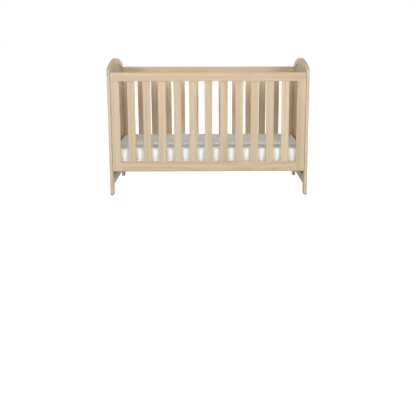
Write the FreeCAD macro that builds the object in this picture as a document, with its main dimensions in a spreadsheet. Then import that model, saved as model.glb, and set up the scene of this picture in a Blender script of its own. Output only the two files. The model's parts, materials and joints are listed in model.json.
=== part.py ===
# A cot for a 1400 x 700 mattress: two arched panel ends, two slatted sides, a base that can be
# set at three heights, and a mattress.
#
# Millimetres. +X runs along the cot, +Y from its front side to its rear side and +Z up.
# The origin is on the floor, under the middle of the cot.
import FreeCAD
import Part
import Sketcher
import os

from FreeCAD import Placement, Rotation, Vector

# ---------------------------------------------------------------- driving sizes

SIZES = (
    # mattress, which the cot is built round
    ("mattress_length", 1400, "mattress"),
    ("mattress_width", 700, "mattress"),
    ("mattress_thickness", 100, "mattress"),
    ("mattress_corner", 40, "mattress corners seen from above"),
    ("mattress_edge", 9, "upper and lower edges of the mattress"),
    ("mattress_end_gap", 5, "mattress to the inner face of an end"),
    ("mattress_side_gap", 8, "mattress to the inner face of a side"),
    ("cover_thickness", 2, "fabric cover with its quilted lining"),
    ("soft_play", 0.3, "air round the mattress and its core"),
    # ends
    ("end_thickness", 23, "legs and arch rail"),
    ("leg_width", 84, "each leg, front to rear"),
    ("shoulder_height", 930, "floor to the ends of the arch"),
    ("shoulder_drop", 50, "joint between leg and arch rail below the ends of the arch"),
    ("arch_rise", 62, "middle of the arch above its shoulders"),
    ("arch_band", 45, "arch rail, outer arc to inner arc"),
    ("shoulder_radius", 9, "rounded outer corners of the arch rail"),
    ("leg_edge_radius", 3, "long edges of legs and arch rail"),
    ("foot_radius", 16, "lower corners of each leg, seen from the side"),
    ("end_lower_edge", 70, "floor to the underside of an end's bottom rail"),
    ("end_rail_height", 70, "bottom rail of an end"),
    ("end_rail_thickness", 19, "bottom rail of an end"),
    ("end_rail_radius", 4, "lower edges of that rail"),
    ("panel_thickness", 9, "panel of an end"),
    ("panel_recess", 6, "panel behind the inner faces of the legs"),
    ("groove_depth", 8, "groove that holds the panel"),
    ("groove_play", 0.1, "groove wider than the panel, each side"),
    ("panel_play", 0.5, "panel short of the grooves at its sides and top"),
    # sides
    ("side_drop", 22, "top of a side below the ends of the arch"),
    ("side_bottom", 184, "floor to the underside of a side"),
    ("side_thickness", 24, "rails and stiles of a side"),
    ("side_setback", 3, "side behind the outer edges of the legs"),
    ("shadow_groove_width", 2, "groove between a side and the legs, in its outer face"),
    ("shadow_groove_depth", 5, "that groove"),
    ("top_rail_height", 62, "top rail of a side"),
    ("bottom_rail_height", 75, "bottom rail of a side"),
    ("stile_width", 63, "upright at each end of a side"),
    ("rail_radius", 8.5, "outer long edges of a side"),
    ("edge_radius", 1.5, "inner long edges of a side"),
    ("slat_width", 55, "slat of a side"),
    ("slat_thickness", 15, "slat of a side"),
    ("slat_setback", 4, "slat behind the outer face of its side"),
    ("slat_radius", 3, "long edges of a slat"),
    ("mortise_depth", 12, "slat let into the rails"),
    ("mortise_play", 0.1, "mortise wider than the slat, each side"),
    ("slat_end_play", 0.5, "slat short of the upper mortise's end"),
    # base
    ("base_height", 253, "floor to the top of the base at its lowest setting"),
    ("base_step", 150, "from one height setting to the next"),
    ("base_play", 3, "base inside the ends and sides, each side"),
    ("base_rail_width", 24, "rail of the base frame"),
    ("base_rail_height", 34, "rail of the base frame"),
    ("base_slat_width", 62, "slat of the base"),
    ("base_slat_thickness", 10, "slat of the base"),
    ("base_slat_radius", 2, "long edges of a slat of the base"),
    # dowels
    ("dowel_radius", 4, "all wooden dowels"),
    ("dowel_reach", 20, "frame dowel into each piece"),
    ("locating_reach", 15, "locating dowel into each piece"),
    ("end_dowel_rise", 20, "lower dowel above the underside of an end's rail"),
    ("end_dowel_pitch", 28, "between the two dowels of that rail"),
    ("leg_dowel_pitch", 36, "between the two dowels in a leg's top"),
    ("stile_dowel_pitch", 28, "between the two dowels in a stile's top"),
    ("rail_dowel_rise", 14, "lower dowel above the underside of a side"),
    ("rail_dowel_pitch", 24, "between the two dowels of a bottom rail"),
    # side fastenings
    ("bolt_radius", 3, "side bolts, bracket screws and the threads they enter"),
    ("bolt_play", 0.3, "clearance hole round a bolt"),
    ("bolt_reach", 37, "side bolt beyond the leg"),
    ("bolt_head_radius", 6, "side bolt head"),
    ("bolt_head_height", 3, "side bolt head, let in flush"),
    ("bolt_socket", 2.9, "hexagonal socket of bolts and bracket screws, centre to corner"),
    ("bolt_socket_depth", 2.2, "that socket"),
    ("nut_radius", 5, "barrel nut"),
    ("nut_length", 16, "barrel nut"),
    ("nut_distance", 30, "barrel nut from the end of its side"),
    ("lower_bolt_rise", 54, "lower side bolt above the underside of the side"),
    ("upper_bolt_drop", 66, "upper side bolt below the top rail"),
    ("lower_dowel_rise", 22, "lower locating dowel above the underside of the side"),
    ("upper_dowel_drop", 34, "upper locating dowel below the top rail"),
    # base fastenings
    ("bracket_width", 36, "angle bracket under a corner of the base"),
    ("bracket_drop", 36, "angle bracket below the base"),
    ("bracket_seat", 24, "angle bracket under the base"),
    ("bracket_thickness", 3, "angle bracket"),
    ("bracket_corner", 5, "rounded corners of its two flanges"),
    ("bracket_hole_pitch", 20, "between the two screws of a bracket"),
    ("bracket_head_radius", 5.5, "bracket screw head"),
    ("bracket_head_height", 3.5, "bracket screw head"),
    ("insert_radius", 5, "threaded insert"),
    ("insert_length", 13, "threaded insert"),
    ("wood_screw_radius", 2, "screws of the base"),
    ("wood_screw_head_radius", 4, "screws of the base"),
    ("wood_screw_head_height", 2.4, "screws of the base"),
    ("wood_screw_socket", 1.6, "hexagonal socket of those screws, centre to corner"),
    ("wood_screw_socket_depth", 1.6, "that socket"),
    ("slat_screw_length", 30, "screw through a slat into its rail"),
    ("frame_screw_length", 60, "screw through one rail into the end of another"),
    ("frame_screw_pitch", 18, "between the two screws of a corner"),
    ("screw_offset", 5, "slat screws outside, frame screws inside, a base rail's middle"),
    # feet
    ("glide_radius", 8, "plastic glide under a leg"),
    ("glide_height", 3, "plastic glide under a leg"),
    ("glide_pin_radius", 1.2, "nail of a glide"),
    ("glide_pin_length", 14, "nail of a glide"),
)

SIDE_SLATS = 11
BASE_SLATS = 13
BASE_SETTINGS = 3

doc = FreeCAD.newDocument("Cot")
sheet = doc.addObject("Spreadsheet::Sheet", "Sizes")
for row, (alias, size, meaning) in enumerate(SIZES, 1):
    sheet.set(f"A{row}", alias)
    sheet.set(f"B{row}", str(size))
    sheet.set(f"C{row}", meaning)
    sheet.setAlias(f"B{row}", alias)
doc.recompute()

# ---------------------------------------------------------------- lengths worked out from them

INTERIOR_LENGTH = "(Sizes.mattress_length + 2 * Sizes.mattress_end_gap)"
HALF_INTERIOR = f"({INTERIOR_LENGTH} / 2)"
END_CENTRE = f"({HALF_INTERIOR} + Sizes.end_thickness / 2)"
SIDE_INNER = "(Sizes.mattress_width / 2 + Sizes.mattress_side_gap)"
SIDE_CENTRE = f"({SIDE_INNER} + Sizes.side_thickness / 2)"
HALF_DEPTH = f"({SIDE_INNER} + Sizes.side_thickness + Sizes.side_setback)"
LEG_CENTRE = f"({HALF_DEPTH} - Sizes.leg_width / 2)"
HALF_OPENING = f"({HALF_DEPTH} - Sizes.leg_width)"
LEG_TOP = "(Sizes.shoulder_height - Sizes.shoulder_drop)"
LEG_LENGTH = f"({LEG_TOP} - Sizes.glide_height)"

ARCH_RADIUS = f"((({HALF_DEPTH})^2 + Sizes.arch_rise^2) / (2 * Sizes.arch_rise))"
INNER_ARCH_RADIUS = f"({ARCH_RADIUS} - Sizes.arch_band)"
ARCH_TOP = "(Sizes.shoulder_height + Sizes.arch_rise)"
ARCH_CENTRE = f"({ARCH_TOP} - {ARCH_RADIUS})"

PANEL_OFFSET = "(Sizes.end_thickness / 2 - Sizes.panel_recess - Sizes.panel_thickness / 2)"
PANEL_BOTTOM = "(Sizes.end_lower_edge + Sizes.end_rail_height - Sizes.groove_depth)"
GROOVE_WIDTH = "(Sizes.panel_thickness + 2 * Sizes.groove_play)"

SIDE_TOP = "(Sizes.shoulder_height - Sizes.side_drop)"
TOP_RAIL_BOTTOM = f"({SIDE_TOP} - Sizes.top_rail_height)"
BOTTOM_RAIL_TOP = "(Sizes.side_bottom + Sizes.bottom_rail_height)"
STILE_CENTRE = f"({HALF_INTERIOR} - Sizes.stile_width / 2)"
SLATTED_LENGTH = f"({INTERIOR_LENGTH} - 2 * Sizes.stile_width)"
SLAT_GAP = f"(({SLATTED_LENGTH} - {SIDE_SLATS} * Sizes.slat_width) / {SIDE_SLATS + 1})"
SLAT_PITCH = f"({SLAT_GAP} + Sizes.slat_width)"
SLAT_OFFSET = "(Sizes.slat_setback + Sizes.slat_thickness / 2 - Sizes.side_thickness / 2)"

UPPER_BOLT = f"({TOP_RAIL_BOTTOM} - Sizes.upper_bolt_drop)"
LOWER_BOLT = "(Sizes.side_bottom + Sizes.lower_bolt_rise)"
UPPER_LOCATING = f"({TOP_RAIL_BOTTOM} - Sizes.upper_dowel_drop)"
LOWER_LOCATING = "(Sizes.side_bottom + Sizes.lower_dowel_rise)"
BOLT_HOLE = "(Sizes.bolt_radius + Sizes.bolt_play)"

BASE_LENGTH = f"({INTERIOR_LENGTH} - 2 * Sizes.base_play)"
BASE_DEPTH = f"(2 * {SIDE_INNER} - 2 * Sizes.base_play)"
BASE_FRAME_TOP = "(Sizes.base_height - Sizes.base_slat_thickness)"
BASE_FRAME_BOTTOM = f"({BASE_FRAME_TOP} - Sizes.base_rail_height)"
BASE_SIDE_RAIL = f"({BASE_DEPTH} / 2 - Sizes.base_rail_width / 2)"
SLAT_SCREW_LINE = f"({BASE_SIDE_RAIL} + Sizes.screw_offset)"
FRAME_SCREW_LINE = f"({BASE_SIDE_RAIL} - Sizes.screw_offset)"
BASE_SLAT_PITCH = f"(({BASE_LENGTH} - Sizes.base_slat_width) / {BASE_SLATS - 1})"

# Midway between the panel's groove in a leg and the inner face of the side.
BRACKET_CENTRE = f"(({HALF_OPENING} + Sizes.groove_depth + {SIDE_INNER}) / 2)"
BRACKET_SCREW = f"({BASE_FRAME_BOTTOM} - Sizes.bracket_thickness - Sizes.bracket_drop / 2)"

# The directions that pieces and holes point in, as turns from +Z.
TOWARDS = {
    "+X": Rotation(Vector(0, 1, 0), 90),
    "-X": Rotation(Vector(0, 1, 0), -90),
    "+Y": Rotation(Vector(1, 0, 0), -90),
    "-Y": Rotation(Vector(1, 0, 0), 90),
    "+Z": Rotation(),
    "-Z": Rotation(Vector(1, 0, 0), 180),
}
OPPOSITE = {"+X": "-X", "-X": "+X", "+Y": "-Y", "-Y": "+Y", "+Z": "-Z", "-Z": "+Z"}
HALF_TURN = Rotation(Vector(0, 0, 1), 180)

nodes = []


# ---------------------------------------------------------------- shared building steps

def number(expression):
    """The present value of an expression."""
    return float(sheet.evalExpression(expression))


def bind(item, **expressions):
    """Binds properties of an object to expressions."""
    for name, expression in expressions.items():
        item.setExpression(name, expression)


def place(item, x="0", y="0", z="0", half_turn=False):
    """Binds an object's position; a half turn about Z takes it to the opposite corner."""
    if half_turn:
        item.Placement = Placement(Vector(), HALF_TURN)
        x = f"-({x})"
        y = f"-({y})"
    for axis, expression in zip("xyz", (x, y, z)):
        item.setExpression(f"Placement.Base.{axis}", expression)


def new_body(label):
    """A body whose label is the name of its sub-part."""
    body = doc.addObject("PartDesign::Body", label)
    body.Label = label
    return body


def keep(item):
    """Lists an object as a sub-part of the cot."""
    nodes.append(item)
    return item


def feature(body, kind, name):
    """Adds a feature that carries on from the body's last one."""
    step = body.newObject(f"PartDesign::{kind}", name)
    body.Tip = step
    return step


def block(body, length, width, height, x="0", y="0", z="0", kind="AdditiveBox"):
    """A block centred on x and y that stands on z, added or cut away."""
    step = feature(body, kind, "Block")
    bind(step, Length=length, Width=width, Height=height)
    place(step, f"{x} - ({length}) / 2", f"{y} - ({width}) / 2", z)
    return step


def drill(body, direction, radius, depth, x="0", y="0", z="0"):
    """A round hole that starts at a point and runs in a direction."""
    step = feature(body, "SubtractiveCylinder", "Hole")
    bind(step, Radius=radius, Height=depth)
    step.Placement = Placement(Vector(), TOWARDS[direction])
    place(step, x, y, z)
    return step


def countersink(body, direction, x="0", y="0", z="0"):
    """The seat of a wood screw's head at the mouth of its hole."""
    step = feature(body, "SubtractiveCone", "Countersink")
    bind(
        step,
        Radius1="Sizes.wood_screw_head_radius",
        Radius2="Sizes.wood_screw_radius",
        Height="Sizes.wood_screw_head_height",
    )
    step.Placement = Placement(Vector(), TOWARDS[direction])
    place(step, x, y, z)
    return step


def round_edges(body, radius, wanted):
    """Rounds the edges of the body's last feature that the wanted function picks."""
    doc.recompute()
    base = body.Tip
    names = [f"Edge{i}" for i, edge in enumerate(base.Shape.Edges, 1) if wanted(edge)]
    step = body.newObject("PartDesign::Fillet", "Rounding")
    step.Base = (base, names)
    step.setExpression("Radius", radius)
    body.Tip = step
    return step


def runs_along(edge, axis):
    """Whether an edge is straight and parallel to an axis."""
    if len(edge.Vertexes) != 2 or not isinstance(edge.Curve, Part.Line):
        return False
    return abs(getattr(edge.Curve.Direction, axis)) > 0.999


def is_upper(edge, body):
    """Whether an edge lies above the middle of the body's last feature."""
    box = body.Tip.Shape.BoundBox
    return edge.CenterOfMass.z > (box.ZMin + box.ZMax) / 2


def origin_plane(body, role):
    """One of the body's own origin planes."""
    return next(item for item in body.Origin.OriginFeatures if item.Role == role)


def side_view_sketch(body, name, offset="0"):
    """A sketch across X: its first axis is the body's Y and its second is Z."""
    sketch = body.newObject("Sketcher::SketchObject", name)
    sketch.AttachmentSupport = [(origin_plane(body, "YZ_Plane"), "")]
    sketch.MapMode = "FlatFace"
    sketch.setExpression("AttachmentOffset.Base.z", offset)
    return sketch


def distance(sketch, kind, name, geometry, point, expression):
    """A named horizontal or vertical distance from the sketch's origin to a point."""
    index = sketch.addConstraint(
        Sketcher.Constraint(kind, -1, 1, geometry, point, number(expression))
    )
    sketch.renameConstraint(index, name)
    sketch.setExpression(f"Constraints.{name}", expression)


def radius(sketch, name, geometry, expression):
    """A named radius."""
    index = sketch.addConstraint(Sketcher.Constraint("Radius", geometry, number(expression)))
    sketch.renameConstraint(index, name)
    sketch.setExpression(f"Constraints.{name}", expression)


def draw_line(sketch, start, end):
    """A straight line, held horizontal or vertical as it is drawn."""
    line = sketch.addGeometry(Part.LineSegment(Vector(*start), Vector(*end)), False)
    kind = "Horizontal" if abs(start[1] - end[1]) < abs(start[0] - end[0]) else "Vertical"
    sketch.addConstraint(Sketcher.Constraint(kind, line))
    return line


def draw_symmetric_line(sketch, start, end):
    """A horizontal line whose ends mirror each other across the vertical axis."""
    line = sketch.addGeometry(Part.LineSegment(Vector(*start), Vector(*end)), False)
    sketch.addConstraint(Sketcher.Constraint("Symmetric", line, 1, line, 2, -2))
    return line


def draw_arch(sketch, arch_radius, centre, half_width):
    """An arc over the middle of the sketch, its centre on the vertical axis."""
    size = number(arch_radius)
    middle = number(centre)
    reach = number(half_width)
    height = middle + (size**2 - reach**2) ** 0.5
    curve = Part.Arc(Vector(reach, height), Vector(0, middle + size), Vector(-reach, height))
    arc = sketch.addGeometry(curve, False)
    sketch.addConstraint(Sketcher.Constraint("PointOnObject", arc, 3, -2))
    return arc, height


def pad_both_ways(body, sketch, thickness, kind="Pad"):
    """Pads or pockets a sketch by half of the thickness on each side of its plane."""
    doc.recompute()
    step = feature(body, kind, kind)
    step.Profile = sketch
    step.Midplane = True
    step.setExpression("Length", thickness)
    return step


def rod(direction, radius_size, length, x="0", y="0", z="0"):
    """A free round bar that starts at a point and runs in a direction."""
    bar = doc.addObject("Part::Cylinder", "Rod")
    bind(bar, Radius=radius_size, Height=length)
    bar.Placement = Placement(Vector(), TOWARDS[direction])
    place(bar, x, y, z)
    return bar


def socketed(screw, direction, socket_size, depth, x, y, z):
    """A screw with a hexagonal socket in its head, which starts at the given point."""
    socket = doc.addObject("Part::Prism", "Socket")
    bind(socket, Circumradius=socket_size, Height=depth)
    socket.Placement = Placement(Vector(), TOWARDS[direction])
    place(socket, x, y, z)
    return without(screw, socket)


def fused(*pieces):
    """Several overlapping solids as one."""
    joined = doc.addObject("Part::MultiFuse", "Joined")
    joined.Shapes = list(pieces)
    return joined


def without(base, tool):
    """One solid with another cut away."""
    rest = doc.addObject("Part::Cut", "Rest")
    rest.Base = base
    rest.Tool = tool
    return rest


def group(label, pieces):
    """Like pieces that share one sub-part, as separate solids."""
    compound = doc.addObject("Part::Compound", label)
    compound.Label = label
    compound.Links = list(pieces)
    return keep(compound)


def signed(sign, expression):
    """An expression on the positive or negative side of the middle."""
    return expression if sign > 0 else f"-({expression})"


# ---------------------------------------------------------------- ends

def leg(label, across, half_turn):
    """A post of an end. Across is -1 for the leg at a side's own end, +1 for the other one.

    The leg's own origin is at the middle of its lower end.
    """
    body = new_body(label)
    half = number("Sizes.leg_width / 2")
    corner = number("Sizes.foot_radius")
    length = number(LEG_LENGTH)
    sketch = side_view_sketch(body, "LegOutline")
    floor = draw_line(sketch, (corner - half, 0), (half - corner, 0))
    right = draw_line(sketch, (half, corner), (half, length))
    top = draw_symmetric_line(sketch, (half, length), (-half, length))
    left = draw_line(sketch, (-half, length), (-half, corner))
    arcs = []
    for sign in (1, -1):
        centre = Vector(sign * (half - corner), corner)
        circle = Part.Circle(centre, Vector(0, 0, 1), corner)
        first, last = (-90, 0) if sign > 0 else (180, 270)
        span = [FreeCAD.Units.Quantity(f"{angle} deg").getValueAs("rad") for angle in (first, last)]
        arcs.append(sketch.addGeometry(Part.ArcOfCircle(circle, *map(float, span)), False))
    for first, first_point, second, second_point in (
        (floor, 2, arcs[0], 1),
        (arcs[0], 2, right, 1),
        (left, 2, arcs[1], 1),
        (arcs[1], 2, floor, 1),
    ):
        sketch.addConstraint(
            Sketcher.Constraint("Tangent", first, first_point, second, second_point)
        )
    sketch.addConstraint(Sketcher.Constraint("Coincident", right, 2, top, 1))
    sketch.addConstraint(Sketcher.Constraint("Coincident", top, 2, left, 1))
    sketch.addConstraint(Sketcher.Constraint("Equal", arcs[0], arcs[1]))
    sketch.addConstraint(Sketcher.Constraint("PointOnObject", floor, 1, -1))
    radius(sketch, "foot", arcs[0], "Sizes.foot_radius")
    distance(sketch, "DistanceX", "half_width", right, 2, "Sizes.leg_width / 2")
    distance(sketch, "DistanceY", "length", right, 2, LEG_LENGTH)
    pad_both_ways(body, sketch, "Sizes.end_thickness")

    def is_rim(edge):
        box = edge.BoundBox
        return box.XLength < 0.01 and box.ZMin < length - 0.01

    round_edges(body, "Sizes.leg_edge_radius", is_rim)

    inwards = -across
    block(
        body,
        GROOVE_WIDTH,
        "Sizes.groove_depth",
        f"{LEG_TOP} - {PANEL_BOTTOM}",
        x=PANEL_OFFSET,
        y=signed(inwards, "(Sizes.leg_width - Sizes.groove_depth) / 2"),
        z=f"{PANEL_BOTTOM} - Sizes.glide_height",
        kind="SubtractiveBox",
    )
    towards_rail = "-Y" if inwards > 0 else "+Y"
    for step in range(2):
        drill(
            body,
            towards_rail,
            "Sizes.dowel_radius",
            "Sizes.dowel_reach",
            y=signed(inwards, "Sizes.leg_width / 2"),
            z=f"{end_dowel_height(step)} - Sizes.glide_height",
        )
        drill(
            body,
            "-Z",
            "Sizes.dowel_radius",
            "Sizes.dowel_reach",
            y=signed(2 * step - 1, "Sizes.leg_dowel_pitch / 2"),
            z=LEG_LENGTH,
        )
    side_line = signed(across, f"({SIDE_CENTRE} - {LEG_CENTRE})")
    for height in (UPPER_BOLT, LOWER_BOLT):
        level = f"{height} - Sizes.glide_height"
        drill(body, "+X", BOLT_HOLE, "Sizes.end_thickness", "-Sizes.end_thickness / 2", side_line, level)
        drill(
            body,
            "+X",
            "Sizes.bolt_head_radius + Sizes.bolt_play",
            "Sizes.bolt_head_height",
            "-Sizes.end_thickness / 2",
            side_line,
            level,
        )
    for height in (UPPER_LOCATING, LOWER_LOCATING):
        drill(
            body,
            "-X",
            "Sizes.dowel_radius",
            "Sizes.locating_reach",
            "Sizes.end_thickness / 2",
            side_line,
            f"{height} - Sizes.glide_height",
        )
    for height in insert_heights():
        for step in (-1, 1):
            drill(
                body,
                "-X",
                "Sizes.insert_radius",
                "Sizes.insert_length",
                "Sizes.end_thickness / 2",
                signed(across, f"({BRACKET_CENTRE} - {LEG_CENTRE})")
                + f" + {step} * Sizes.bracket_hole_pitch / 2",
                f"{height} - Sizes.glide_height",
            )
    drill(body, "+Z", "Sizes.glide_pin_radius", "Sizes.glide_pin_length")
    place(body, f"-{END_CENTRE}", signed(across, LEG_CENTRE), "Sizes.glide_height", half_turn)
    return keep(body)


def end_dowel_height(step):
    """Height of one of the two dowels that join an end's bottom rail to a leg."""
    return f"(Sizes.end_lower_edge + Sizes.end_dowel_rise + {step} * Sizes.end_dowel_pitch)"


def insert_heights():
    """Heights of the threaded inserts for the settings of the base, lowest first."""
    return [f"({BRACKET_SCREW} + {step} * Sizes.base_step)" for step in range(BASE_SETTINGS)]


def panel_outline(body, name, offset, bottom, play):
    """The outline of an end's panel, or of the groove that takes it, with an arched top.

    Heights are above the floor, and play is how far the outline stays off the groove's ends.
    """
    sketch = side_view_sketch(body, name, offset)
    half_width = f"({HALF_OPENING} + Sizes.groove_depth - {play})"
    arc_radius = f"({INNER_ARCH_RADIUS} + Sizes.groove_depth - {play})"
    arc, spring = draw_arch(sketch, arc_radius, ARCH_CENTRE, half_width)
    half = number(half_width)
    low = number(bottom)
    left = draw_line(sketch, (-half, spring), (-half, low))
    base = draw_symmetric_line(sketch, (-half, low), (half, low))
    right = draw_line(sketch, (half, low), (half, spring))
    outline = (arc, left, base, right)
    for first, second in zip(outline, outline[1:] + outline[:1]):
        sketch.addConstraint(Sketcher.Constraint("Coincident", first, 2, second, 1))
    radius(sketch, "arch", arc, arc_radius)
    distance(sketch, "DistanceY", "arch_centre", arc, 3, ARCH_CENTRE)
    distance(sketch, "DistanceX", "half_width", right, 1, half_width)
    distance(sketch, "DistanceY", "bottom", right, 1, bottom)
    return sketch


def arch_rail(label, half_turn):
    """The arched top of an end. It sits on both legs, and its underside holds the panel."""
    body = new_body(label)
    sketch = side_view_sketch(body, "ArchOutline")
    half = number(HALF_DEPTH)
    opening = number(HALF_OPENING)
    seat = number(LEG_TOP)
    outer, shoulder = draw_arch(sketch, ARCH_RADIUS, ARCH_CENTRE, HALF_DEPTH)
    left = draw_line(sketch, (-half, shoulder), (-half, seat))
    left_seat = draw_line(sketch, (-half, seat), (-opening, seat))
    inner, spring = draw_arch(sketch, INNER_ARCH_RADIUS, ARCH_CENTRE, HALF_OPENING)
    left_cheek = draw_line(sketch, (-opening, seat), (-opening, spring))
    right_cheek = draw_line(sketch, (opening, spring), (opening, seat))
    right_seat = draw_line(sketch, (opening, seat), (half, seat))
    right = draw_line(sketch, (half, seat), (half, shoulder))
    for first, first_point, second, second_point in (
        (outer, 2, left, 1),
        (left, 2, left_seat, 1),
        (left_seat, 2, left_cheek, 1),
        (left_cheek, 2, inner, 2),
        (inner, 1, right_cheek, 1),
        (right_cheek, 2, right_seat, 1),
        (right_seat, 2, right, 1),
        (right, 2, outer, 1),
    ):
        sketch.addConstraint(
            Sketcher.Constraint("Coincident", first, first_point, second, second_point)
        )
    sketch.addConstraint(Sketcher.Constraint("Symmetric", left_seat, 1, right_seat, 2, -2))
    sketch.addConstraint(Sketcher.Constraint("Equal", left_seat, right_seat))
    radius(sketch, "outer_arch", outer, ARCH_RADIUS)
    radius(sketch, "inner_arch", inner, INNER_ARCH_RADIUS)
    distance(sketch, "DistanceY", "outer_centre", outer, 3, ARCH_CENTRE)
    distance(sketch, "DistanceY", "inner_centre", inner, 3, ARCH_CENTRE)
    distance(sketch, "DistanceX", "half_depth", right_seat, 2, HALF_DEPTH)
    distance(sketch, "DistanceX", "half_opening", right_seat, 1, HALF_OPENING)
    distance(sketch, "DistanceY", "seat", right_seat, 2, LEG_TOP)
    pad_both_ways(body, sketch, "Sizes.end_thickness")

    def is_shoulder(edge):
        return runs_along(edge, "x") and abs(edge.CenterOfMass.z - shoulder) < 0.01

    def is_rim(edge):
        return edge.BoundBox.XLength < 0.01 and edge.BoundBox.ZMax > seat + 0.01

    round_edges(body, "Sizes.shoulder_radius", is_shoulder)
    round_edges(body, "Sizes.leg_edge_radius", is_rim)
    groove = panel_outline(body, "Groove", PANEL_OFFSET, LEG_TOP, "0")
    pad_both_ways(body, groove, GROOVE_WIDTH, "Pocket")
    for across in (-1, 1):
        for step in (-1, 1):
            drill(
                body,
                "+Z",
                "Sizes.dowel_radius",
                "Sizes.dowel_reach",
                y=f"{across} * {LEG_CENTRE} + {step} * Sizes.leg_dowel_pitch / 2",
                z=LEG_TOP,
            )
    place(body, f"-{END_CENTRE}", half_turn=half_turn)
    return keep(body)


def end_panel(label, half_turn):
    """The thin panel of an end, held in grooves on all four sides."""
    body = new_body(label)
    outline = panel_outline(body, "PanelOutline", PANEL_OFFSET, PANEL_BOTTOM, "Sizes.panel_play")
    pad_both_ways(body, outline, "Sizes.panel_thickness")
    place(body, f"-{END_CENTRE}", half_turn=half_turn)
    return keep(body)


def end_bottom_rail(label, half_turn):
    """The rail between the legs of an end, under its panel."""
    body = new_body(label)
    block(body, "Sizes.end_rail_thickness", f"2 * {HALF_OPENING}", "Sizes.end_rail_height")
    round_edges(
        body,
        "Sizes.end_rail_radius",
        lambda edge: runs_along(edge, "y") and not is_upper(edge, body),
    )
    block(
        body,
        GROOVE_WIDTH,
        f"2 * {HALF_OPENING}",
        "Sizes.groove_depth",
        x=PANEL_OFFSET,
        z="Sizes.end_rail_height - Sizes.groove_depth",
        kind="SubtractiveBox",
    )
    for across in (-1, 1):
        for step in range(2):
            drill(
                body,
                "+Y" if across < 0 else "-Y",
                "Sizes.dowel_radius",
                "Sizes.dowel_reach",
                y=signed(across, HALF_OPENING),
                z=f"{end_dowel_height(step)} - Sizes.end_lower_edge",
            )
    place(body, f"-{END_CENTRE}", z="Sizes.end_lower_edge", half_turn=half_turn)
    return keep(body)


def build_end(name, half_turn):
    """One end. The right end is the left one turned half round."""
    front, rear = (1, -1) if half_turn else (-1, 1)
    leg(f"{name}_end_front_leg", front, half_turn)
    leg(f"{name}_end_rear_leg", rear, half_turn)
    arch_rail(f"{name}_end_arch_rail", half_turn)
    end_panel(f"{name}_end_panel", half_turn)
    end_bottom_rail(f"{name}_end_bottom_rail", half_turn)


def build_end_dowels():
    """Dowels that hold each end's legs, arch rail and bottom rail together."""
    pieces = []
    for along in (-1, 1):
        centre = signed(along, END_CENTRE)
        for across in (-1, 1):
            for step in range(2):
                pieces.append(
                    rod(
                        "+Y",
                        "Sizes.dowel_radius",
                        "2 * Sizes.dowel_reach",
                        centre,
                        signed(across, HALF_OPENING) + " - Sizes.dowel_reach",
                        end_dowel_height(step),
                    )
                )
                pieces.append(
                    rod(
                        "+Z",
                        "Sizes.dowel_radius",
                        "2 * Sizes.dowel_reach",
                        centre,
                        f"{across} * {LEG_CENTRE} + {2 * step - 1} * Sizes.leg_dowel_pitch / 2",
                        f"{LEG_TOP} - Sizes.dowel_reach",
                    )
                )
    group("end_frame_dowels", pieces)


def build_glides():
    """A plastic glide with its nail under each leg."""
    pieces = []
    for along in (-1, 1):
        for across in (-1, 1):
            at = (signed(along, END_CENTRE), signed(across, LEG_CENTRE))
            pad = rod("+Z", "Sizes.glide_radius", "Sizes.glide_height", *at)
            pin = rod(
                "+Z",
                "Sizes.glide_pin_radius",
                "Sizes.glide_height + Sizes.glide_pin_length",
                *at,
            )
            pieces.append(fused(pad, pin))
    group("foot_glides", pieces)


# ---------------------------------------------------------------- sides

def cut_mortises(body, start):
    """The row of mortises in a side's rail, from the given height in the rail."""
    doc.recompute()
    base = body.Tip
    first = block(
        body,
        "Sizes.slat_width + 2 * Sizes.mortise_play",
        "Sizes.slat_thickness + 2 * Sizes.mortise_play",
        "Sizes.mortise_depth",
        x=f"-{SLAT_PITCH} * {(SIDE_SLATS - 1) / 2}",
        y=SLAT_OFFSET,
        z=start,
        kind="SubtractiveBox",
    )
    doc.recompute()
    row = body.newObject("PartDesign::LinearPattern", "Mortises")
    row.Originals = [first]
    row.Direction = (origin_plane(body, "X_Axis"), [""])
    row.Occurrences = SIDE_SLATS
    row.setExpression("Length", f"{SLAT_PITCH} * {SIDE_SLATS - 1}")
    body.Tip = row
    doc.recompute()
    one = base.Shape.Volume - first.Shape.Volume
    removed = base.Shape.Volume - row.Shape.Volume
    if abs(removed - SIDE_SLATS * one) > 1:
        raise RuntimeError(f"{body.Label}: the mortises are not all cut")


def cut_shadow_groove(body, along, half_length, height):
    """The narrow rebate in a side's outer face that sets it off from a leg."""
    block(
        body,
        "Sizes.shadow_groove_width",
        "Sizes.shadow_groove_depth",
        height,
        x=signed(along, f"({half_length} - Sizes.shadow_groove_width / 2)"),
        y="(Sizes.shadow_groove_depth - Sizes.side_thickness) / 2",
        kind="SubtractiveBox",
    )


def top_rail(label, half_turn):
    """The top rail of a side, over both stiles."""
    body = new_body(label)
    block(body, INTERIOR_LENGTH, "Sizes.side_thickness", "Sizes.top_rail_height")
    round_edges(
        body, "Sizes.rail_radius", lambda edge: runs_along(edge, "x") and is_upper(edge, body)
    )
    round_edges(
        body, "Sizes.edge_radius", lambda edge: runs_along(edge, "x") and edge.CenterOfMass.z < 0.01
    )
    cut_mortises(body, "0")
    for along in (-1, 1):
        cut_shadow_groove(body, along, HALF_INTERIOR, "Sizes.top_rail_height")
        for step in (-1, 1):
            drill(
                body,
                "+Z",
                "Sizes.dowel_radius",
                "Sizes.dowel_reach",
                x=f"{along} * {STILE_CENTRE} + {step} * Sizes.stile_dowel_pitch / 2",
            )
    place(body, y=f"-{SIDE_CENTRE}", z=TOP_RAIL_BOTTOM, half_turn=half_turn)
    return keep(body)


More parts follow.
